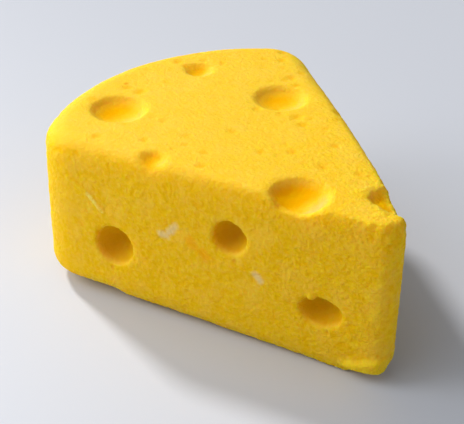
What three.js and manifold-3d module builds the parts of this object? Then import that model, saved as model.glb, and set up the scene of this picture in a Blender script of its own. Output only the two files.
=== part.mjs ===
// A wedge of cheese with round eyes and soft, rounded edges, made in one piece.
//
// Millimetres, +Z up. The wedge rests on its flat base at Z = 0, and the origin is under the middle
// of its bounding box. Its two cut faces meet at the tip, which points along +X, and the rind is the
// bowed end at -X. The front cut face looks towards -Y and the back one towards +Y.

import * as THREE from "three";
import { mergeVertices } from "three/addons/utils/BufferGeometryUtils.js";
import Module from "manifold-3d";

// ---- Driving dimensions -------------------------------------------------------------------------

const CUT_LENGTH = 100; // a cut face, from where the two would meet to where it would meet the rind
const TIP_ANGLE = THREE.MathUtils.degToRad(51.1); // between the two cut faces
const RIND_BOW = 19.6; // how far the rind stands out beyond the line between its two corners
const HEIGHT = 44.9;
const TIP_RADIUS = 4.7; // upright edge at the tip
const CORNER_RADIUS = 12.3; // upright edges at the rind
const TOP_EDGE_RADIUS = 5.6;
const BASE_EDGE_RADIUS = 6.8;
const TIP_SETBACK = 0.34; // how far the tip draws back as an edge rounds over, per mm of rounding
const SHARPEST_CORNER = 0.8; // the least radius that a rind corner keeps as an edge rounds over
const CHEESE_YELLOW = 0xf9cf3a;

// Round eyes: how wide, how tall and how deep each is at its face, and the place of its middle as
// shares of the wedge, so that it stays on its face. "reach" is the share of the way from the tip
// to the rind, "up" of the height, and "along" of CUT_LENGTH from the tip. "swing" is the share of
// the way from the middle of the wedge to the back cut face, or to the front one where negative.
const TOP_EYES = [
  { reach: 0.848, swing: -0.481, width: 15, tall: 15, depth: 3.6 },
  { reach: 0.87, swing: 0.245, width: 8, tall: 8, depth: 1.5 },
  { reach: 0.664, swing: 0.56, width: 14, tall: 14, depth: 3.2 },
  { reach: 0.679, swing: -0.906, width: 7.4, tall: 7.4, depth: 1.6 },
  { reach: 0.298, swing: -0.684, width: 15, tall: 15, depth: 4 },
  { reach: 0.172, swing: 0.72, width: 8.8, tall: 8.8, depth: 2.8 },
];
const RIND_EYES = [
  { swing: -0.36, up: 0.36, width: 12.2, tall: 11.4, depth: 4.8 },
  { swing: 0.42, up: 0.62, width: 10, tall: 9.6, depth: 4.2 },
];
const FRONT_EYES = [
  { along: 0.79, up: 0.396, width: 11, tall: 11.6, depth: 6.4 },
  { along: 0.468, up: 0.668, width: 9.4, tall: 9.4, depth: 6 },
  { along: 0.227, up: 0.365, width: 11.6, tall: 8.5, depth: 5.4 },
];
const BACK_EYES = [
  { along: 0.74, up: 0.64, width: 11.4, tall: 11, depth: 5.6 },
  { along: 0.52, up: 0.3, width: 12.4, tall: 10.8, depth: 5.8 },
  { along: 0.27, up: 0.56, width: 9.6, tall: 9.2, depth: 4.8 },
];

// An eye is the part of an ellipsoid below its face. The ellipsoid's centre stands this share of
// its half-depth outside the face, so a top eye is an open bowl and a side eye is a deeper pit with
// a steep wall.
const TOP_EYE_LIFT = 0.5;
const SIDE_EYE_LIFT = 0.12;

// Facets.
const TIP_STEPS = 8;
const CORNER_STEPS = 12;
const RIND_STEPS = 36;
const CUT_STEPS = 14;
const EDGE_STEPS = 6;
const EYE_STEPS_ROUND = 26;
const EYE_STEPS_DEEP = 14;

// ---- Sizes that follow --------------------------------------------------------------------------

const HALF_ANGLE = TIP_ANGLE / 2;
const HALF_WIDTH = CUT_LENGTH * Math.sin(HALF_ANGLE);
const RIND_RADIUS = (HALF_WIDTH ** 2 + RIND_BOW ** 2) / (2 * RIND_BOW);
const RIND_X = -(CUT_LENGTH * Math.cos(HALF_ANGLE) + RIND_BOW); // with the sharp tip at X = 0
const RIND_CENTRE_X = RIND_X + RIND_RADIUS;
const TIP_CENTRE_X = -TIP_RADIUS / Math.sin(HALF_ANGLE); // the upright axis that the tip rounds about
const TIP_X = TIP_CENTRE_X + TIP_RADIUS;
const MIDDLE_X = (RIND_X + TIP_X) / 2;

// Along a cut face, away from the tip, and square out of it. side is -1 for the front, 1 for the back.
const cutDirection = (side) => new THREE.Vector3(-Math.cos(HALF_ANGLE), side * Math.sin(HALF_ANGLE), 0);
const cutNormal = (side) => new THREE.Vector3(Math.sin(HALF_ANGLE), side * Math.cos(HALF_ANGLE), 0);

// A place by its distance from the sharp tip, on a line that leaves the middle of the wedge by an angle.
function fromTip(distance, bearing) {
  return new THREE.Vector3(-distance * Math.cos(bearing), distance * Math.sin(bearing), 0);
}

// From the sharp tip to the rind along such a line.
function distanceToRind(bearing) {
  const chord = Math.sqrt(RIND_RADIUS ** 2 - (RIND_CENTRE_X * Math.sin(bearing)) ** 2);
  return -RIND_CENTRE_X * Math.cos(bearing) + chord;
}

// ---- Body ---------------------------------------------------------------------------------------

// The centre of the circle that rounds a rind corner: it touches the cut face and the rind, both
// moved in by inset.
function cornerCentre(inset, radius) {
  const fromCut = inset + radius;
  const fromRindCentre = RIND_RADIUS - inset - radius;
  const start = cutNormal(1).multiplyScalar(-fromCut).sub(new THREE.Vector3(RIND_CENTRE_X, 0, 0));
  const along = start.dot(cutDirection(1));
  const travel = -along + Math.sqrt(along ** 2 - start.lengthSq() + fromRindCentre ** 2);
  return cutNormal(1).multiplyScalar(-fromCut).addScaledVector(cutDirection(1), travel);
}

// The wedge's outline seen from above, anticlockwise from the front of the tip. It is moved in by
// inset, but by less at the tip, which stays full where the edges above and below round over.
function outline(inset) {
  const cornerRadius = Math.max(CORNER_RADIUS - inset, SHARPEST_CORNER);
  const tipCentreX = TIP_CENTRE_X - inset * TIP_SETBACK;
  const corner = cornerCentre(inset, cornerRadius);
  const cutTurn = Math.PI / 2 - HALF_ANGLE; // of a cut face's normal from +X
  const rindTurn = Math.atan2(corner.y, corner.x - RIND_CENTRE_X);

  const arc = (x, y, radius, from, to, steps) =>
    new THREE.ArcCurve(x, y, radius, from, to, false).getPoints(steps);
  const tip = arc(tipCentreX, 0, TIP_RADIUS, -cutTurn, cutTurn, TIP_STEPS);
  const backCorner = arc(corner.x, corner.y, cornerRadius, cutTurn, rindTurn, CORNER_STEPS);
  const rind = arc(RIND_CENTRE_X, 0, RIND_RADIUS - inset, rindTurn, 2 * Math.PI - rindTurn, RIND_STEPS);
  const frontCorner = arc(corner.x, -corner.y, cornerRadius, -rindTurn, -cutTurn, CORNER_STEPS);
  const backCut = new THREE.LineCurve(tip.at(-1), backCorner[0]).getPoints(CUT_STEPS);
  const frontCut = new THREE.LineCurve(frontCorner.at(-1), tip[0]).getPoints(CUT_STEPS);
  // Each stretch starts on the last point of the one before it, so its own first point is left out.
  return [tip, backCut, backCorner, rind, frontCorner, frontCut].flatMap((stretch) => stretch.slice(1));
}

// How far a rounded edge rises and draws in, from the upright side round to the flat.
function roundedEdge(radius) {
  const steps = [];
  for (let step = 0; step <= EDGE_STEPS; step += 1) {
    const turn = (step / EDGE_STEPS) * (Math.PI / 2);
    steps.push({ rise: radius * Math.sin(turn), inset: radius * (1 - Math.cos(turn)) });
  }
  return steps;
}

// Heights and insets up the side, from the rim of the base to the rim of the top.
function sideProfile() {
  const base = roundedEdge(BASE_EDGE_RADIUS).reverse();
  const top = roundedEdge(TOP_EDGE_RADIUS);
  return [
    ...base.map(({ rise, inset }) => ({ z: BASE_EDGE_RADIUS - rise, inset })),
    ...top.map(({ rise, inset }) => ({ z: HEIGHT - TOP_EDGE_RADIUS + rise, inset })),
  ];
}

// Outlines one above the other, skinned into a closed surface with flat ends.
function bodyGeometry() {
  const levels = sideProfile();
  const rings = levels.map(({ inset }) => outline(inset));
  const around = rings[0].length;
  const positions = rings.flatMap((ring, level) => ring.flatMap(({ x, y }) => [x, y, levels[level].z]));
  const indices = [];
  for (let level = 0; level + 1 < rings.length; level += 1) {
    for (let step = 0; step < around; step += 1) {
      const here = level * around + step;
      const next = level * around + ((step + 1) % around);
      indices.push(here, next, next + around, here, next + around, here + around);
    }
  }
  const top = (rings.length - 1) * around;
  for (const [a, b, c] of THREE.ShapeUtils.triangulateShape(rings[0], [])) {
    indices.push(a, c, b);
  }
  for (const [a, b, c] of THREE.ShapeUtils.triangulateShape(rings[rings.length - 1], [])) {
    indices.push(top + a, top + b, top + c);
  }
  const geometry = new THREE.BufferGeometry();
  geometry.setAttribute("position", new THREE.Float32BufferAttribute(positions, 3));
  geometry.setIndex(indices);
  return geometry;
}

// ---- Eyes ---------------------------------------------------------------------------------------

// The space that an eye takes out of a face: part of an ellipsoid on the line square to the face.
function eyeGeometry({ width, tall, depth }, lift, centre, across, outward) {
  const halfDepth = depth / (1 - lift);
  const widening = 1 / Math.sqrt(1 - lift ** 2);
  const upFace = new THREE.Vector3().crossVectors(outward, across);
  const place = new THREE.Matrix4()
    .makeBasis(across, upFace, outward)
    .setPosition(centre.clone().addScaledVector(outward, lift * halfDepth));
  return new THREE.SphereGeometry(1, EYE_STEPS_ROUND, EYE_STEPS_DEEP)
    .scale((width / 2) * widening, (tall / 2) * widening, halfDepth)
    .applyMatrix4(place);
}

function topEye(eye) {
  const bearing = eye.swing * HALF_ANGLE;
  const distance = eye.reach * distanceToRind(bearing);
  const centre = fromTip(distance, bearing).setZ(HEIGHT);
  return eyeGeometry(eye, TOP_EYE_LIFT, centre, new THREE.Vector3(1, 0, 0), new THREE.Vector3(0, 0, 1));
}

function cutEye(eye, side) {
  const centre = cutDirection(side).multiplyScalar(eye.along * CUT_LENGTH).setZ(eye.up * HEIGHT);
  return eyeGeometry(eye, SIDE_EYE_LIFT, centre, cutDirection(side), cutNormal(side));
}

function rindEye(eye) {
  const bearing = eye.swing * HALF_ANGLE;
  const centre = fromTip(distanceToRind(bearing), bearing).setZ(eye.up * HEIGHT);
  const outward = new THREE.Vector3(centre.x - RIND_CENTRE_X, centre.y, 0).normalize();
  const across = new THREE.Vector3(-outward.y, outward.x, 0);
  return eyeGeometry(eye, SIDE_EYE_LIFT, centre, across, outward);
}

// ---- Solid --------------------------------------------------------------------------------------

const wasm = await Module();
wasm.setup();

function toSolid(geometry) {
  geometry.deleteAttribute("normal");
  geometry.deleteAttribute("uv");
  const merged = mergeVertices(geometry);
  return new wasm.Manifold(
    new wasm.Mesh({
      numProp: 3,
      vertProperties: new Float32Array(merged.attributes.position.array),
      triVerts: new Uint32Array(merged.index.array),
    }),
  );
}

function toGeometry(solid) {
  const { vertProperties, triVerts } = solid.getMesh();
  const geometry = new THREE.BufferGeometry();
  geometry.setAttribute("position", new THREE.BufferAttribute(vertProperties, 3));
  geometry.setIndex(new THREE.BufferAttribute(triVerts, 1));
  geometry.computeVertexNormals();
  return geometry;
}

const eyes = [
  ...TOP_EYES.map(topEye),
  ...FRONT_EYES.map((eye) => cutEye(eye, -1)),
  ...BACK_EYES.map((eye) => cutEye(eye, 1)),
  ...RIND_EYES.map(rindEye),
];
const solid = eyes.reduce((cheese, eye) => cheese.subtract(toSolid(eye)), toSolid(bodyGeometry()));

const wedge = new THREE.Mesh(
  toGeometry(solid),
  new THREE.MeshStandardMaterial({ color: CHEESE_YELLOW, roughness: 0.75, metalness: 0 }),
);
wedge.name = "cheese_wedge";
wedge.position.x = -MIDDLE_X;

const cheese = new THREE.Group();
cheese.add(wedge);

export default cheese;
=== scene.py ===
import math

import bmesh
import bpy
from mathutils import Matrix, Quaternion, Vector


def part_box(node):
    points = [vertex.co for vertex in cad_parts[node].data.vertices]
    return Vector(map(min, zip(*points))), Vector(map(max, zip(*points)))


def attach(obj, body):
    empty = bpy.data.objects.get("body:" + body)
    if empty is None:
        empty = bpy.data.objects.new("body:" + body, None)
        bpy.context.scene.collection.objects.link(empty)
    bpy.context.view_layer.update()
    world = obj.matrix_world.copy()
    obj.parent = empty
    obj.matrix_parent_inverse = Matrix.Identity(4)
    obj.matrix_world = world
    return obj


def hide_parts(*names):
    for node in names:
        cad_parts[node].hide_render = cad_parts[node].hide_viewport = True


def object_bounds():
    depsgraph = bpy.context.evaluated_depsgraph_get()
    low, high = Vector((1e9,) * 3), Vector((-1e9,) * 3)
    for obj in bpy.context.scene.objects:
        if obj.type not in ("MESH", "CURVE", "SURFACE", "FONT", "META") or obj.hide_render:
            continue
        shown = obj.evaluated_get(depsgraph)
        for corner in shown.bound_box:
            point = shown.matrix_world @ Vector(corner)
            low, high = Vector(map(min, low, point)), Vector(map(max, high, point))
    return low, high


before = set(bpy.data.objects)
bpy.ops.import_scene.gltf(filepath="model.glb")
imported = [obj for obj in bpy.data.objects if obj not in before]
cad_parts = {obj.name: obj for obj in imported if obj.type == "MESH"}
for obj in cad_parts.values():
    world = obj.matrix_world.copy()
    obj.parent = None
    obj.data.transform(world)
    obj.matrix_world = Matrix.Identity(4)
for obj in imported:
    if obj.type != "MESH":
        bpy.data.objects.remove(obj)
cad_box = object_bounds()
MM = 0.001


# ---- The wedge -----------------------------------------------------------------------------------
# One piece of soft yellow cheese, formed as one mass. Its skin is a fine crumb with shallow pits, its
# edges are soft and shed small crumbs along the foot and at the tip, and its round eyes are smoother.

low, high = (Vector(corner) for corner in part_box("cheese_wedge"))
HALF_ANGLE = math.radians(51.1 / 2)  # between the wedge's middle line and a cut face
TIP_LOSS = 6.2 * MM  # what the rounding takes off the tip
SHARP_TIP = Vector((high.x + TIP_LOSS, 0, low.z))  # where the planes of the two cut faces meet
FRONT_WAY = (-math.cos(HALF_ANGLE), -math.sin(HALF_ANGLE), 0.0)  # along the front face, from the tip
FRONT_OUT = (math.sin(HALF_ANGLE), -math.cos(HALF_ANGLE), 0.0)  # square out of the front face
BACK_WAY = (FRONT_WAY[0], -FRONT_WAY[1], 0.0)
BACK_OUT = (FRONT_OUT[0], -FRONT_OUT[1], 0.0)
SKIN_STEP = 0.54 * MM  # between neighbouring points of the skin

# Small marks on the front face, in millimetres: along from the tip, out of the face, and up. Most run
# straight from one end to the other.
SCRATCH_FAINT = ((91.4, 0, 34.8), (86.1, 0, 31.8))
SCRATCH_DEEP = ((86.1, 0, 31.8), (81.9, 0, 27.6))
WHITE_MARKS = [
    ((61.4, 0, 29.0), (63.0, 0, 26.8)),
    ((63.8, 0, 25.8), (65.4, 0, 25.8)),
    ((39.6, 0, 21.8), (38.4, 0, 20.6)),
]
DARK_MARKS = [((66.4, 0, 25.0), (66.0, 0, 24.6)), ((41.0, 0, 21.2), (40.6, 0, 20.6))]
ORANGE_MARKS = [((57.4, 0, 26.4), (56.0, 0, 25.0)), ((54.0, 0, 24.0), (52.6, 0, 22.6))]
PIN_HOLES = [(79.6, 0, 11.0), (45.1, 0, 24.0), (20.6, 0, 11.2)]
EYE_CRUMB = ((25.1, -0.4, 20.4), (25.1, -0.4, 20.0))  # hangs from the lip of the eye nearest the tip

# Marks on the top, in millimetres from the sharp tip's foot: towards the tip, to the back, and up.
DENTS = [(-63.2, -26.9, 44.7), (-94.5, 10.4, 44.9)]
FRECKLE = (-99.4, -10.2, 44.9)

# Where the edges are worn: a line on the front face, the reach of full and of any wear from it, in
# millimetres, and how strong the wear is.
WORN = [
    (((98, -1, -2), (82, -1, -2)), 2, 8, 1.5),
    (((3, -4, -2), (10, -2, -2)), 2, 10, 0.5),
    (((9.6, -10.4, 44.4), (9.0, -9.6, 45.0)), 0.5, 4.5, 1.5),
]


def add(tree, kind, *values, **settings):
    """A node with its settings, and its inputs filled in order with values or with other sockets."""
    node = tree.nodes.new(kind)
    for name, value in settings.items():
        setattr(node, name, value)
    for socket, value in zip([s for s in node.inputs if s.enabled and not s.is_unavailable], values):
        feed(tree, socket, value)
    return node


def feed(tree, socket, value):
    """Gives a socket a plain value, or links it to another socket or to a node's first output."""
    if isinstance(value, bpy.types.Node):
        value = next(s for s in value.outputs if s.enabled)
    if isinstance(value, bpy.types.NodeSocket):
        tree.links.new(value, socket)
    else:
        socket.default_value = value


def fill(tree, node, inputs):
    for label, value in inputs.items():
        feed(tree, node.inputs[label], value)
    return node


def maths(tree, operation, *values):
    return add(tree, "ShaderNodeMath", *values, operation=operation).outputs["Value"]


def chained(tree, operation, values):
    result = values[0]
    for value in values[1:]:
        result = maths(tree, operation, result, value)
    return result


def plus(tree, *values):
    return chained(tree, "ADD", values)


def times(tree, *values):
    return chained(tree, "MULTIPLY", values)


def largest(tree, *values):
    return chained(tree, "MAXIMUM", values)


def between(tree, value, first, last):
    """A number that goes straight from first to last while value goes from 0 to 1."""
    return plus(tree, first, times(tree, value, last - first))


def ramp(tree, value, start, end, first=0.0, last=1.0):
    """A number taken smoothly from first to last while value goes from start to end."""
    node = tree.nodes.new("ShaderNodeMapRange")
    node.interpolation_type = "SMOOTHSTEP"
    ends = {"From Min": start, "From Max": end, "To Min": first, "To Max": last}
    return fill(tree, node, {"Value": value, **ends}).outputs["Result"]


def vectors(tree, operation, *values):
    node = add(tree, "ShaderNodeVectorMath", *values, operation=operation)
    return next(s for s in node.outputs if s.enabled)


def scaled(tree, vector, scale):
    node = add(tree, "ShaderNodeVectorMath", vector, operation="SCALE")
    feed(tree, node.inputs["Scale"], scale)
    return node.outputs["Vector"]


def joined(tree, x, y, z):
    return add(tree, "ShaderNodeCombineXYZ", x, y, z).outputs["Vector"]


def part(tree, vector, axis):
    return add(tree, "ShaderNodeSeparateXYZ", vector).outputs[axis]


def noise(tree, place, size, detail=2.0, roughness=0.5, output="Fac"):
    """A smooth pattern from 0 to 1 whose lumps are about size across."""
    scale = maths(tree, "DIVIDE", 1.0, size)
    inputs = {"Vector": place, "Scale": scale, "Detail": detail, "Roughness": roughness}
    return fill(tree, tree.nodes.new("ShaderNodeTexNoise"), inputs).outputs[output]


def on_front(tree, place):
    """A place as seen on the front face: along it from the tip, out of it, and up."""
    from_tip = vectors(tree, "SUBTRACT", place, tuple(SHARP_TIP))
    along = vectors(tree, "DOT_PRODUCT", from_tip, FRONT_WAY)
    out = vectors(tree, "DOT_PRODUCT", from_tip, FRONT_OUT)
    return joined(tree, along, out, part(tree, from_tip, "Z"))


def to_line(tree, place, start, end):
    """How far place is from the straight line between start and end, which are in millimetres."""
    start, end = (Vector(point) * MM for point in (start, end))
    line = end - start
    from_start = vectors(tree, "SUBTRACT", place, tuple(start))
    along_line = vectors(tree, "DOT_PRODUCT", from_start, tuple(line))
    share = maths(tree, "DIVIDE", along_line, line.length_squared)
    share = maths(tree, "MINIMUM", maths(tree, "MAXIMUM", share, 0.0), 1.0)
    return vectors(tree, "DISTANCE", from_start, scaled(tree, tuple(line), share))


def on_wedge(point):
    """A place in the frame, from millimetres past the sharp tip's foot."""
    return tuple(SHARP_TIP + Vector(point) * MM)


# The finish. Colours are linear.
BODY = (0.90, 0.53, 0.002)
PALE = (0.96, 0.59, 0.070)  # painted highlight on the crumbs' raised tops, a painted pale sheen over the top as a whole, and pale clouds
DEEP_SHADE = (0.76, 0.40, 0.001)  # painted shade between the crumbs and in their low parts, and inside the eyes of the sides
BRIGHT = (1.0, 0.66, 0.022)  # fresh crumb in blotches near the tip, and a painted highlight on the ledge
HOLLOW_SHADE_TONE = (0.97, 0.45, 0.001)  # painted shade: in the pits, and on the side of a bowl that faces the tip, away from the lamp
LIT_SIDE_TONE = (0.82, 0.42, 0.12)  # painted light: the side of a bowl that faces the rind, towards the lamp
WHITE_TONE = (0.84, 0.60, 0.25)
DARK_TONE = (0.74, 0.42, 0.002)
ORANGE_TONE = (0.98, 0.39, 0.002)
SCRATCH_TONE = (1.0, 0.80, 0.20)
FRECKLE_TONE = (0.80, 0.30, 0.010)

PAINT_CRUMB = 1.3 * MM
FINE_CRUMB = 0.75 * MM
GRAIN = 1.0 * MM
GRAIN_BEND = 0.25 * MM  # how far the grains are pushed out of their straight cells
GRAIN_BEND_SIZE = 1.2 * MM
BLOTCH = 2.4 * MM
CLOUD = 6 * MM
MARK_RAG = 1.5 * MM
LIGHT_REACH = 5.0 * MM  # how far red light travels inside
LIGHT_REACH_SHARES = (1.0, 0.32, 0.06)  # the same for red, green and blue, as shares of it
RELIEF = 0.64 * MM
FACING_TOP = (0.3, 0.9)  # how far a face looks upwards, from the sides' edge to the top's
TOP_SHEEN_SPAN = (10 * MM, 90 * MM)  # these three are how far it is from the tip
BLOTCHY = (4 * MM, 40 * MM)
RELIEF_FADES = (20 * MM, 50 * MM)
TOP_EYES = (high.z - 10 * MM, high.z - 6 * MM)  # and this one how high it is

cheese = bpy.data.materials.new("cheese")
cheese.use_nodes = True
paint = cheese.node_tree
surface = paint.nodes["Principled BSDF"].inputs
spot = add(paint, "ShaderNodeTexCoord").outputs["Object"]
front_spot = on_front(paint, spot)
from_tip = part(paint, front_spot, "X")


def kept(name):
    """A value that the skin's tree stored on its points."""
    return add(paint, "ShaderNodeAttribute", attribute_name=name).outputs["Fac"]


def tint(under, colour, share):
    """The colour under, taken towards another by a share."""
    mix = add(paint, "ShaderNodeMix", data_type="RGBA")
    return fill(paint, mix, {"Factor": share, "A": under, "B": (*colour, 1)}).outputs["Result"]


def marked(lines, core, rim, most, rag=1.6):
    """A share that is most within core of the lines and nothing past rim, with a ragged edge.
    core, rim and rag are in millimetres."""
    uneven = plus(paint, noise(paint, spot, MARK_RAG), -0.5)
    ragged = times(paint, uneven, rag * MM)
    reach = [plus(paint, to_line(paint, front_spot, *line), ragged) for line in lines]
    return largest(paint, *[ramp(paint, value, core * MM, rim * MM, most, 0.0) for value in reach])


# The crumb: painted highlight on the raised tops and painted shade in the low parts and gaps of the
# bump's own pattern, both stronger on the upright faces, where the top's painted sheen is weaker.
crumb = noise(paint, spot, PAINT_CRUMB, 3.0, 0.6)
bend = scaled(paint, noise(paint, spot, GRAIN_BEND_SIZE, output="Color"), GRAIN_BEND)
grains = add(paint, "ShaderNodeTexVoronoi", feature="SMOOTH_F1")
fill(paint, grains, {"Vector": vectors(paint, "ADD", spot, bend), "Scale": 1 / GRAIN, "Smoothness": 0.4})
gap = ramp(paint, grains.outputs["Distance"], 0.25, 0.75)
facing = add(paint, "ShaderNodeNewGeometry").outputs["Normal"]
facing_up = part(paint, facing, "Z")
facing_tip = part(paint, facing, "X")
upright = ramp(paint, facing_up, *FACING_TOP, 1.0, 0.0)
colour = tint((*BODY, 1), PALE, ramp(paint, crumb, 0.38, 0.68, 0.0, 0.4))
colour = tint(colour, DEEP_SHADE, ramp(paint, crumb, 0.5, 0.3, 0.0, between(paint, upright, 0.05, 0.18)))
colour = tint(colour, DEEP_SHADE, times(paint, gap, between(paint, upright, 0.04, 0.16)))

# The top is painted paler, a painted sheen from the lamp behind the rind that grows towards the rind, and
# the whole wedge is a little cloudy.
top_sheen = ramp(paint, from_tip, *TOP_SHEEN_SPAN, 0.22, 0.48)
colour = tint(colour, PALE, ramp(paint, facing_up, *FACING_TOP, 0.0, top_sheen))
colour = tint(colour, PALE, ramp(paint, noise(paint, spot, CLOUD, 2.0), 0.45, 0.7, 0.0, 0.35))
# The pits are painted orange, a painted shade in their hollows.
colour = tint(colour, HOLLOW_SHADE_TONE, times(paint, kept("pit"), 0.75))

# Fresh crumb shows in blotches near the tip, and the ledge is painted paler, a painted highlight on its
# raised top.
blotches = ramp(paint, noise(paint, spot, BLOTCH, 1.0), 0.45, 0.65, 0.0, 0.4)
near_tip = ramp(paint, from_tip, *BLOTCHY, 1.0, 0.3)
colour = tint(colour, BRIGHT, times(paint, blotches, near_tip))
colour = tint(colour, BRIGHT, times(paint, kept("ledge"), 0.6))

# The eyes get painted light and shade: bowls in the top are painted orange shade on the side that faces
# the tip, away from the lamp, and a paler painted lit tone on the side that faces the rind; those in the
# sides are painted deep shade.
in_eye = kept("eye")
on_top = ramp(paint, part(paint, spot, "Z"), *TOP_EYES)
in_bowl = times(paint, in_eye, on_top)
colour = tint(colour, HOLLOW_SHADE_TONE, times(paint, in_bowl, ramp(paint, facing_tip, -0.3, 0.15, 0.2, 1.0)))
colour = tint(colour, LIT_SIDE_TONE, times(paint, in_bowl, ramp(paint, facing_tip, -0.5, -0.1, 0.75, 0.0)))
in_side = times(paint, in_eye, between(paint, on_top, 1.0, 0.0))
colour = tint(colour, DEEP_SHADE, times(paint, in_side, 0.75))

# The small marks.
white = marked(WHITE_MARKS, 0.1, 1.7, 0.85, rag=1.1)
faint_scratch = marked([SCRATCH_FAINT], 0.1, 0.5, 0.5, rag=0.3)
deep_scratch = marked([SCRATCH_DEEP], 0.25, 0.75, 1.0, rag=0.3)
scratched = largest(paint, faint_scratch, deep_scratch)
to_freckle = vectors(paint, "DISTANCE", spot, on_wedge(FRECKLE))
colour = tint(colour, ORANGE_TONE, marked(ORANGE_MARKS, 0.1, 2.2, 0.6))
colour = tint(colour, WHITE_TONE, white)
colour = tint(colour, DARK_TONE, marked(DARK_MARKS, 0.1, 1.0, 0.6))
colour = tint(colour, SCRATCH_TONE, scratched)
colour = tint(colour, FRECKLE_TONE, ramp(paint, to_freckle, 0.2 * MM, 1.0 * MM, 0.8, 0.0))
feed(paint, surface["Base Color"], colour)

# Light sinks in and comes out orange, less so through the white marks and the scratch.
feed(paint, surface["Subsurface Weight"], between(paint, largest(paint, white, scratched), 0.6, 0.15))
feed(paint, surface["Subsurface Radius"], LIGHT_REACH_SHARES)
feed(paint, surface["Subsurface Scale"], LIGHT_REACH)
feed(paint, surface["Specular IOR Level"], ramp(paint, in_eye, 0.0, 1.0, 0.025, 0.003))
feed(paint, surface["Roughness"], ramp(paint, crumb, 0.3, 0.7, 0.68, 0.48))

# The finest relief, lower in the eyes, on the top and away from the tip.
fine = noise(paint, spot, FINE_CRUMB, 2.0, 0.6)
relief = plus(paint, times(paint, crumb, 0.5), times(paint, fine, 0.6), times(paint, gap, -0.2))
relief = times(paint, relief, between(paint, in_eye, 1.0, 0.5))
relief = times(paint, relief, ramp(paint, facing_up, 0.1, 0.8, 1.0, 0.6))
relief = times(paint, relief, ramp(paint, from_tip, *RELIEF_FADES, 1.0, 0.65))
bump = add(paint, "ShaderNodeBump")
fill(paint, bump, {"Strength": 1.0, "Distance": RELIEF, "Height": relief})
feed(paint, surface["Normal"], bump.outputs["Normal"])

# The solid, from the frame's own node, with its doubled corners merged.
MERGED = 0.002 * MM
wedge_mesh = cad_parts["cheese_wedge"].data.copy()
weld = bmesh.new()
weld.from_mesh(wedge_mesh)
bmesh.ops.remove_doubles(weld, verts=weld.verts, dist=MERGED)
weld.to_mesh(wedge_mesh)
weld.free()
wedge_mesh.materials.clear()
wedge_mesh.materials.append(cheese)
blank = bpy.data.objects.new("blank", wedge_mesh)
bpy.context.scene.collection.objects.link(blank)


def new_tree(name, inputs):
    """A geometry tree with a named input for each value, of the value's own kind."""
    tree = bpy.data.node_groups.new(name, "GeometryNodeTree")
    for way in ("INPUT", "OUTPUT"):
        tree.interface.new_socket("Geometry", in_out=way, socket_type="NodeSocketGeometry")
    kinds = {int: "NodeSocketInt", float: "NodeSocketFloat", tuple: "NodeSocketVector"}
    for label, value in inputs.items():
        kind = kinds.get(type(value), "NodeSocketMaterial")
        tree.interface.new_socket(label, in_out="INPUT", socket_type=kind)
    return tree


def use_tree(piece, tree, inputs):
    """Adds the tree to the piece as a modifier and sets its inputs."""
    modifier = piece.modifiers.new(tree.name, "NODES")
    modifier.node_group = tree
    sockets = {s.name: s.identifier for s in tree.interface.items_tree if s.in_out == "INPUT"}
    for label, value in inputs.items():
        modifier[sockets[label]] = value


def move(tree, geometry, offset):
    mover = add(tree, "GeometryNodeSetPosition", geometry)
    feed(tree, mover.inputs["Offset"], offset)
    return mover.outputs["Geometry"]


def drawn(tree, least, most, seed):
    """A random number for each point, from least to most."""
    node = add(tree, "FunctionNodeRandomValue", least, most, data_type="FLOAT")
    feed(tree, node.inputs["Seed"], seed)
    return next(s for s in node.outputs if s.enabled)


# Crumbs, half sunk: a row along the foot, a cluster at the foot of the tip, and a few on the top's
# front edge.
CLUSTER_LINE = ((7, -1, 2), (13, -1, 1))
CLUSTER_GROWTH = 4.0  # how much larger a crumb would be where every point kept one
EDGE_ZONE = (8 * MM, 24 * MM)  # along the front face, from the tip
NEAR_FRONT = (-6 * MM, -2.5 * MM)  # out of the front face
crumb_inputs = {
    "Crumb Radius": 0.65 * MM,
    "Smallest Share": 0.55,
    "Largest Share": 1.15,
    "Sunk Share": 0.55,
    "Per Square Metre": 0.55e6,
    "Foot Height": 1.6 * MM,
    "Foot Share": 0.45,
    "Cluster Reach": 6.6 * MM,
    "Cluster Share": 0.2,
    "Edge Height": 5 * MM,
    "Edge Share At Tip": 0.24,
    "Edge Share": 0.08,
    "Seed": 4,
    "Finish": cheese,
}
crumbs = new_tree("crumbs", crumb_inputs)
given = add(crumbs, "NodeGroupInput").outputs
scatter = add(crumbs, "GeometryNodeDistributePointsOnFaces", distribute_method="RANDOM")
density = given["Per Square Metre"]
fill(crumbs, scatter, {"Mesh": given["Geometry"], "Density": density, "Seed": given["Seed"]})
place = add(crumbs, "GeometryNodeInputPosition").outputs["Position"]
height = part(crumbs, place, "Z")
front = on_front(crumbs, place)
foot = ramp(crumbs, height, 0.3 * MM, given["Foot Height"], given["Foot Share"], 0.0)
to_cluster = to_line(crumbs, front, *CLUSTER_LINE)
cluster = ramp(crumbs, to_cluster, 2 * MM, given["Cluster Reach"], given["Cluster Share"], 0.0)
edge_ends = (given["Edge Share At Tip"], given["Edge Share"])
edge_share = ramp(crumbs, part(crumbs, front, "X"), *EDGE_ZONE, *edge_ends)
under_top = maths(crumbs, "SUBTRACT", high.z, height)
edge = ramp(crumbs, under_top, 0.0, given["Edge Height"], edge_share, 0.0)
edge = times(crumbs, edge, ramp(crumbs, part(crumbs, front, "Y"), *NEAR_FRONT))
wanted = largest(crumbs, foot, cluster, edge)
draw = drawn(crumbs, 0.0, 1.0, seed=11)
unwanted = add(crumbs, "FunctionNodeCompare", data_type="FLOAT", operation="GREATER_THAN")
feed(crumbs, unwanted.inputs[0], draw)
feed(crumbs, unwanted.inputs[1], wanted)
thin = add(crumbs, "GeometryNodeDeleteGeometry", domain="POINT")
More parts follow.
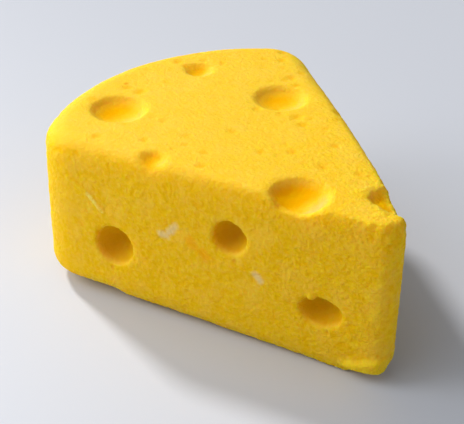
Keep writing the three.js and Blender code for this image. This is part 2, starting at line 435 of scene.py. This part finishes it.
fill(crumbs, thin, {"Geometry": scatter.outputs["Points"], "Selection": unwanted.outputs["Result"]})
size = drawn(crumbs, given["Smallest Share"], given["Largest Share"], seed=0)
radius = times(crumbs, size, given["Crumb Radius"], between(crumbs, cluster, 1.0, CLUSTER_GROWTH))
sunk = scaled(crumbs, scatter.outputs["Normal"], times(crumbs, radius, given["Sunk Share"], -1.0))
dropped = move(crumbs, thin.outputs["Geometry"], sunk)
ball = fill(crumbs, add(crumbs, "GeometryNodeMeshIcoSphere"), {"Radius": 1.0, "Subdivisions": 2})
placed = add(crumbs, "GeometryNodeInstanceOnPoints")
fill(crumbs, placed, {"Points": dropped, "Instance": ball.outputs["Mesh"], "Scale": radius})
single = add(crumbs, "GeometryNodeRealizeInstances", placed)
coloured = fill(crumbs, add(crumbs, "GeometryNodeSetMaterial", single), {"Material": given["Finish"]})
both = add(crumbs, "GeometryNodeJoinGeometry")
crumbs.links.new(coloured.outputs["Geometry"], both.inputs["Geometry"])
crumbs.links.new(given["Geometry"], both.inputs["Geometry"])
add(crumbs, "NodeGroupOutput", both)
use_tree(blank, crumbs, crumb_inputs)

even = blank.modifiers.new("even skin", "REMESH")
even.mode = "VOXEL"
even.voxel_size = SKIN_STEP

# The skin: soft lips on the top's eyes, a lifted tip and a bowed back, then waves, lumps, crumb, pits,
# wear and the small marks.
IN_EYE = (0.6 * MM, 2.4 * MM)  # how deep a place lies in an eye, as are the next two
LIP = (0.1 * MM, 0.9 * MM)
CALM = (0.5 * MM, 1.8 * MM)
FILLED = (35 * MM, 55 * MM)  # along the front face from the tip, as are the next five
LIFTED = (6 * MM, 18 * MM)
BROKEN = (12 * MM, 30 * MM)
LEDGE_END = (14 * MM, 18 * MM)
LEDGE_START = (4 * MM, 8 * MM)
LEDGE_RISES = (14.5 * MM, 8 * MM, 2.6 * MM)  # from one to the other, and by how much
LEDGE_TOP = (5.4 * MM, 4.4 * MM)  # above the foot, as are the next three
LEDGE_FOOT = (1.3 * MM, 4.0 * MM)
LIFT_HEIGHT = 6 * MM
FOOT_WORN = (4 * MM, 0.5 * MM)
LEDGE_OUT = (-3.6 * MM, -1.6 * MM)  # out of the front face
DENT_REACH = (4.6 * MM, 1.6 * MM)  # from a dent's middle
BACK_SKIN = (-16 * MM, -2 * MM)  # out of the back face
BACK_SPAN = (42 * MM, 4 * MM)  # to either side of its middle
LEVEL = (0.15, 0.75)  # how far a face looks upwards
skin_inputs = {
    "Soft From Height": high.z - 8 * MM,
    "Eye Fill": 0.38,
    "Eye Fill From": 1.3 * MM,
    "Tip Lift": 2.5 * MM,
    "Back Bulge": 0.9 * MM,
    "Back Middle": 52 * MM,
    "Wave Size": 26 * MM,
    "Wave Height": 0.5 * MM,
    "Lump Size": 4.5 * MM,
    "Lump Height": 0.40 * MM,
    "Crumb Size": 1.5 * MM,
    "Crumb Height": 0.50 * MM,
    "Pit Spacing": 4.4 * MM,
    "Pit Depth": 0.38 * MM,
    "Dent Depth": 0.3 * MM,
    "Foot Wear": 1.0 * MM,
    "Ledge Height": 1.5 * MM,
    "Ledge Rag Size": 3.2 * MM,
    "Ledge Rag": 2.8 * MM,
    "Scratch Height": 0.5 * MM,
    "Pin Depth": 0.6 * MM,
    "Eye Crumb Height": 0.9 * MM,
    "Seed": 7,
    "Low Corner": tuple(cad_box[0]),
    "High Corner": tuple(cad_box[1]),
    "Finish": cheese,
}
skin = new_tree("skin", skin_inputs)
given = add(skin, "NodeGroupInput").outputs
place = add(skin, "GeometryNodeInputPosition").outputs["Position"]
facing = add(skin, "GeometryNodeInputNormal").outputs["Normal"]
height = part(skin, place, "Z")
front = on_front(skin, place)
along, out, up = (part(skin, front, axis) for axis in "XYZ")
seed_shift = joined(skin, given["Seed"], given["Seed"], given["Seed"])
pattern = vectors(skin, "ADD", place, seed_shift)


def store(geometry, name, value):
    """The geometry with a value kept on each point, for the finish to read."""
    keeper = add(skin, "GeometryNodeStoreNamedAttribute", data_type="FLOAT", domain="POINT")
    return fill(skin, keeper, {"Geometry": geometry, "Name": name, "Value": value}).outputs["Geometry"]


def eased(geometry, rounds, weight):
    """The surface with each place drawn towards its neighbours, so that a sharp lip turns soft."""
    blur = add(skin, "GeometryNodeBlurAttribute", place, rounds, weight, data_type="FLOAT_VECTOR")
    mover = add(skin, "GeometryNodeSetPosition", geometry)
    feed(skin, mover.inputs["Position"], blur)
    return mover.outputs["Geometry"]


def swell(size, strength, detail=2.0, roughness=0.5):
    """A raised and sunken pattern, as far above the surface as below it."""
    return times(skin, plus(skin, noise(skin, pattern, size, detail, roughness), -0.5), strength)


def by_line(line, core, rim, most):
    """most within core of a line on the front face, and nothing past rim, both in millimetres."""
    return ramp(skin, to_line(skin, front, *line), core * MM, rim * MM, most, 0.0)


# How deep a place lies in an eye, from the wedge's convex hull.
hull = add(skin, "GeometryNodeConvexHull", given["Geometry"])
depth = add(skin, "GeometryNodeProximity", hull, target_element="FACES").outputs["Distance"]
soft_to_height = plus(skin, given["Soft From Height"], 5 * MM)
near_top = ramp(skin, height, given["Soft From Height"], soft_to_height)
near_eye = ramp(skin, depth, *LIP, 0.15, 1.0)
shape = eased(given["Geometry"], 2, 1.0)
shape = eased(shape, 8, times(skin, near_top, near_eye))

# The bowls of the top are partly filled, the foot under the tip is lifted, and the back face bows.
past_lip = maths(skin, "SUBTRACT", depth, given["Eye Fill From"])
filling = ramp(skin, along, *FILLED, 0.1, given["Eye Fill"])
fill_up = times(skin, maths(skin, "MAXIMUM", past_lip, 0.0), near_top, filling)
under_tip = times(
    skin,
    ramp(skin, up, 0.0, LIFT_HEIGHT, 1.0, 0.0),
    ramp(skin, along, *LIFTED, 1.0, 0.0),
    given["Tip Lift"],
)
shape = move(skin, shape, joined(skin, 0.0, 0.0, plus(skin, fill_up, under_tip)))
from_tip = vectors(skin, "SUBTRACT", place, tuple(SHARP_TIP))
back_along = vectors(skin, "DOT_PRODUCT", from_tip, BACK_WAY)
off_middle = maths(skin, "ABSOLUTE", maths(skin, "SUBTRACT", back_along, given["Back Middle"]))
out_of_back = vectors(skin, "DOT_PRODUCT", from_tip, BACK_OUT)
bulge = ramp(skin, out_of_back, *BACK_SKIN, 0.0, given["Back Bulge"])
bulge = times(skin, bulge, ramp(skin, off_middle, *BACK_SPAN))
shape = move(skin, shape, scaled(skin, BACK_OUT, bulge))

# Waves, lumps and crumb: calmer in the eyes and on the top, and broken up round the top of the tip.
level = ramp(skin, part(skin, facing, "Z"), *LEVEL)
calm = ramp(skin, depth, *CALM, 1.0, 0.25)
broken = times(skin, near_top, ramp(skin, along, *BROKEN, 2.0, 0.0))
wave = swell(given["Wave Size"], given["Wave Height"], 1.0)
lump = times(skin, swell(given["Lump Size"], given["Lump Height"]), between(skin, level, 1.0, 0.5))
rugged = times(skin, calm, plus(skin, between(skin, level, 1.0, 0.4), broken))
grain = times(skin, swell(given["Crumb Size"], given["Crumb Height"], 2.0, 0.6), rugged)

# Pits: one in some of the cells, wider in some than in others, and most of them on the top.
cells = add(skin, "ShaderNodeTexVoronoi", feature="F1")
fill(skin, cells, {"Vector": pattern, "Scale": maths(skin, "DIVIDE", 1.0, given["Pit Spacing"])})
chance = add(skin, "FunctionNodeSeparateColor", cells.outputs["Color"]).outputs["Red"]
pit_rim = ramp(skin, chance, 0.3, 1.0, 0.22, 0.48)
pit = ramp(skin, cells.outputs["Distance"], 0.02, pit_rim, 1.0, 0.0)
pit = times(skin, pit, ramp(skin, chance, 0.35, 0.75), calm, between(skin, level, 0.35, 1.0))

# Two soft dents, at the front edge of the top and behind it near the rind.
to_dents = [vectors(skin, "DISTANCE", place, on_wedge(dent)) for dent in DENTS]
dented = largest(skin, *[ramp(skin, away, *DENT_REACH) for away in to_dents])
hollow = largest(skin, ramp(skin, depth, *IN_EYE), times(skin, dented, 0.9))
# How deep a place lies in an eye or a dent is kept for the finish, which paints shade and light into the
# bowls by it.
shape = store(shape, "eye", hollow)

# The rough ledge at the foot of the tip, higher towards the tip.
shelf_top = plus(
    skin,
    up,
    swell(given["Ledge Rag Size"], given["Ledge Rag"]),
    times(skin, ramp(skin, along, *LEDGE_RISES[:2]), -LEDGE_RISES[2]),
)
shelf = times(
    skin,
    ramp(skin, shelf_top, *LEDGE_TOP),
    ramp(skin, along, *LEDGE_END, 1.0, 0.0),
    ramp(skin, out, *LEDGE_OUT),
    ramp(skin, up, *LEDGE_FOOT),
    ramp(skin, along, *LEDGE_START, 0.3, 1.0),
)

# What stands out of the skin, and what is sunk or worn away.
scratches = [by_line(line, 0.1, 1.0, given["Scratch Height"]) for line in (SCRATCH_FAINT, SCRATCH_DEEP)]
eye_crumb = by_line(EYE_CRUMB, 0.3, 1.5, given["Eye Crumb Height"])
raised = largest(skin, *scratches, times(skin, shelf, given["Ledge Height"]), eye_crumb)
pin_lines = [(pin, (pin[0], 0.1, pin[2])) for pin in PIN_HOLES]
pins = largest(skin, *[by_line(line, 0.2, 0.9, given["Pin Depth"]) for line in pin_lines])
foot_wear = ramp(skin, height, *FOOT_WORN, 0.0, 0.4)
worn = largest(skin, foot_wear, *[by_line(*place_worn) for place_worn in WORN])
lift = plus(skin, wave, lump, grain, raised)
sink = plus(
    skin,
    times(skin, pit, given["Pit Depth"]),
    times(skin, worn, given["Foot Wear"]),
    pins,
    times(skin, dented, given["Dent Depth"]),
)
shape = move(skin, shape, scaled(skin, facing, maths(skin, "SUBTRACT", lift, sink)))
# The pit mask is kept for the painted shade in the pits.
shape = store(shape, "pit", pit)
# The ledge mask is kept for the painted highlight on the ledge.
shape = store(shape, "ledge", shelf)

# No place leaves the wedge's box.
inside = vectors(skin, "MAXIMUM", place, given["Low Corner"])
inside = vectors(skin, "MINIMUM", inside, given["High Corner"])
held = add(skin, "GeometryNodeSetPosition", shape)
feed(skin, held.inputs["Position"], inside)
smooth = add(skin, "GeometryNodeSetShadeSmooth", held)
single = add(skin, "GeometryNodeRealizeInstances", smooth)
finished = fill(skin, add(skin, "GeometryNodeSetMaterial", single), {"Material": given["Finish"]})
add(skin, "NodeGroupOutput", finished)
use_tree(blank, skin, skin_inputs)

bpy.context.view_layer.update()
skinned = blank.evaluated_get(bpy.context.evaluated_depsgraph_get())
wedge = bpy.data.objects.new("yellow_cheese", bpy.data.meshes.new_from_object(skinned))
bpy.data.objects.remove(blank)
bpy.context.scene.collection.objects.link(wedge)
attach(wedge, "root")
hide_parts("cheese_wedge")


# ---- The table top -------------------------------------------------------------------------------
# A plain pale surface, matte, wide enough to fill the view. It isn't part of the object.

TABLE_HALF = 3.0
TABLE_TONE = (0.59, 0.61, 0.665, 1)
top_mesh = bpy.data.meshes.new("table_top")
sides = [(-1, -1), (1, -1), (1, 1), (-1, 1)]
corners = [(x * TABLE_HALF, y * TABLE_HALF, 0) for x, y in sides]
top_mesh.from_pydata(corners, [], [(0, 1, 2, 3)])
table_top = bpy.data.objects.new("table_top", top_mesh)
bpy.context.scene.collection.objects.link(table_top)
pale_top = bpy.data.materials.new("pale_top")
pale_top.use_nodes = True
top_surface = pale_top.node_tree.nodes["Principled BSDF"].inputs
top_surface["Base Color"].default_value = TABLE_TONE
top_surface["Roughness"].default_value = 0.6
top_mesh.materials.append(pale_top)


# ---- Light ---------------------------------------------------------------------------------------
# One soft lamp a few metres behind the rind, like a window, and a small weak card close to the front
# face. The room round them is brightest on the front side, with a fainter glow past the tip.

scene = bpy.context.scene
scene.view_settings.view_transform = "Standard"


def toward(turn, rise):
    """The way to a light: turn is from behind the rind round to the front, rise from level."""
    turn, rise = math.radians(turn), math.radians(rise)
    return Vector((-math.cos(turn) * math.cos(rise), -math.sin(turn) * math.cos(rise), math.sin(rise)))


LAMPS = {
    "window": {"way": toward(1, 39), "far": 4.0, "size": 0.52, "energy": 120, "tone": (1.0, 0.98, 0.95)},
    "card": {"way": toward(60, 35), "far": 0.30, "size": 0.16, "energy": 0.27, "tone": (0.97, 0.98, 1.0)},
}
for name, lamp in LAMPS.items():
    light = bpy.data.lights.new(name, "AREA")
    light.shape = "DISK"
    light.size = lamp["size"]
    light.energy = lamp["energy"]
    light.color = lamp["tone"]
    stand = bpy.data.objects.new(name, light)
    stand.location = lamp["way"] * lamp["far"]
    stand.rotation_euler = lamp["way"].to_track_quat("Z", "Y").to_euler()
    scene.collection.objects.link(stand)

ROOM_TONE = (0.93, 0.96, 1.0, 1)
ROOM_STRENGTH = 0.08
room = bpy.data.worlds.new("room")
room.use_nodes = True
air = room.node_tree
backdrop = air.nodes["Background"].inputs
view_way = add(air, "ShaderNodeTexCoord").outputs["Generated"]


def glow(way, strength, narrowing=4.0):
    """Brightness that is strongest one way and falls to nothing at right angles to it."""
    share = maths(air, "MAXIMUM", vectors(air, "DOT_PRODUCT", view_way, tuple(way)), 0.0)
    return times(air, maths(air, "POWER", share, narrowing), strength)


front_glow = glow(toward(55, 42), 1.52)
tip_glow = glow(toward(190, 25), 0.7)
feed(air, backdrop["Color"], ROOM_TONE)
feed(air, backdrop["Strength"], plus(air, front_glow, tip_glow, ROOM_STRENGTH))
scene.world = room


# ---- Camera --------------------------------------------------------------------------------------
# Above the front face and past the tip, looking down at the wedge.

AZIMUTH, ELEVATION, ROLL = (math.radians(angle) for angle in (51.31, 33.16, 0.795))
AIM_BEHIND_TIP = 86.92 * MM
AIM_TO_BACK = 16.48 * MM
DISTANCE = 353.3 * MM
LENS_LENGTH = 94.3
SENSOR_WIDTH = 36
NEAR_CUT = 10 * MM
aim = Vector((SHARP_TIP.x - AIM_BEHIND_TIP, AIM_TO_BACK, low.z))
level_way = Vector((math.sin(AZIMUTH), -math.cos(AZIMUTH), 0))
back = level_way * math.cos(ELEVATION) + Vector((0, 0, math.sin(ELEVATION)))
lens = bpy.data.cameras.new("camera")
lens.lens = LENS_LENGTH
lens.sensor_width = SENSOR_WIDTH
lens.clip_start = NEAR_CUT
camera = bpy.data.objects.new("camera", lens)
camera.location = aim + back * DISTANCE
camera.rotation_mode = "QUATERNION"
camera.rotation_quaternion = Quaternion(back, ROLL) @ back.to_track_quat("Z", "Y")
scene.collection.objects.link(camera)
scene.camera = camera

bpy.context.view_layer.update()
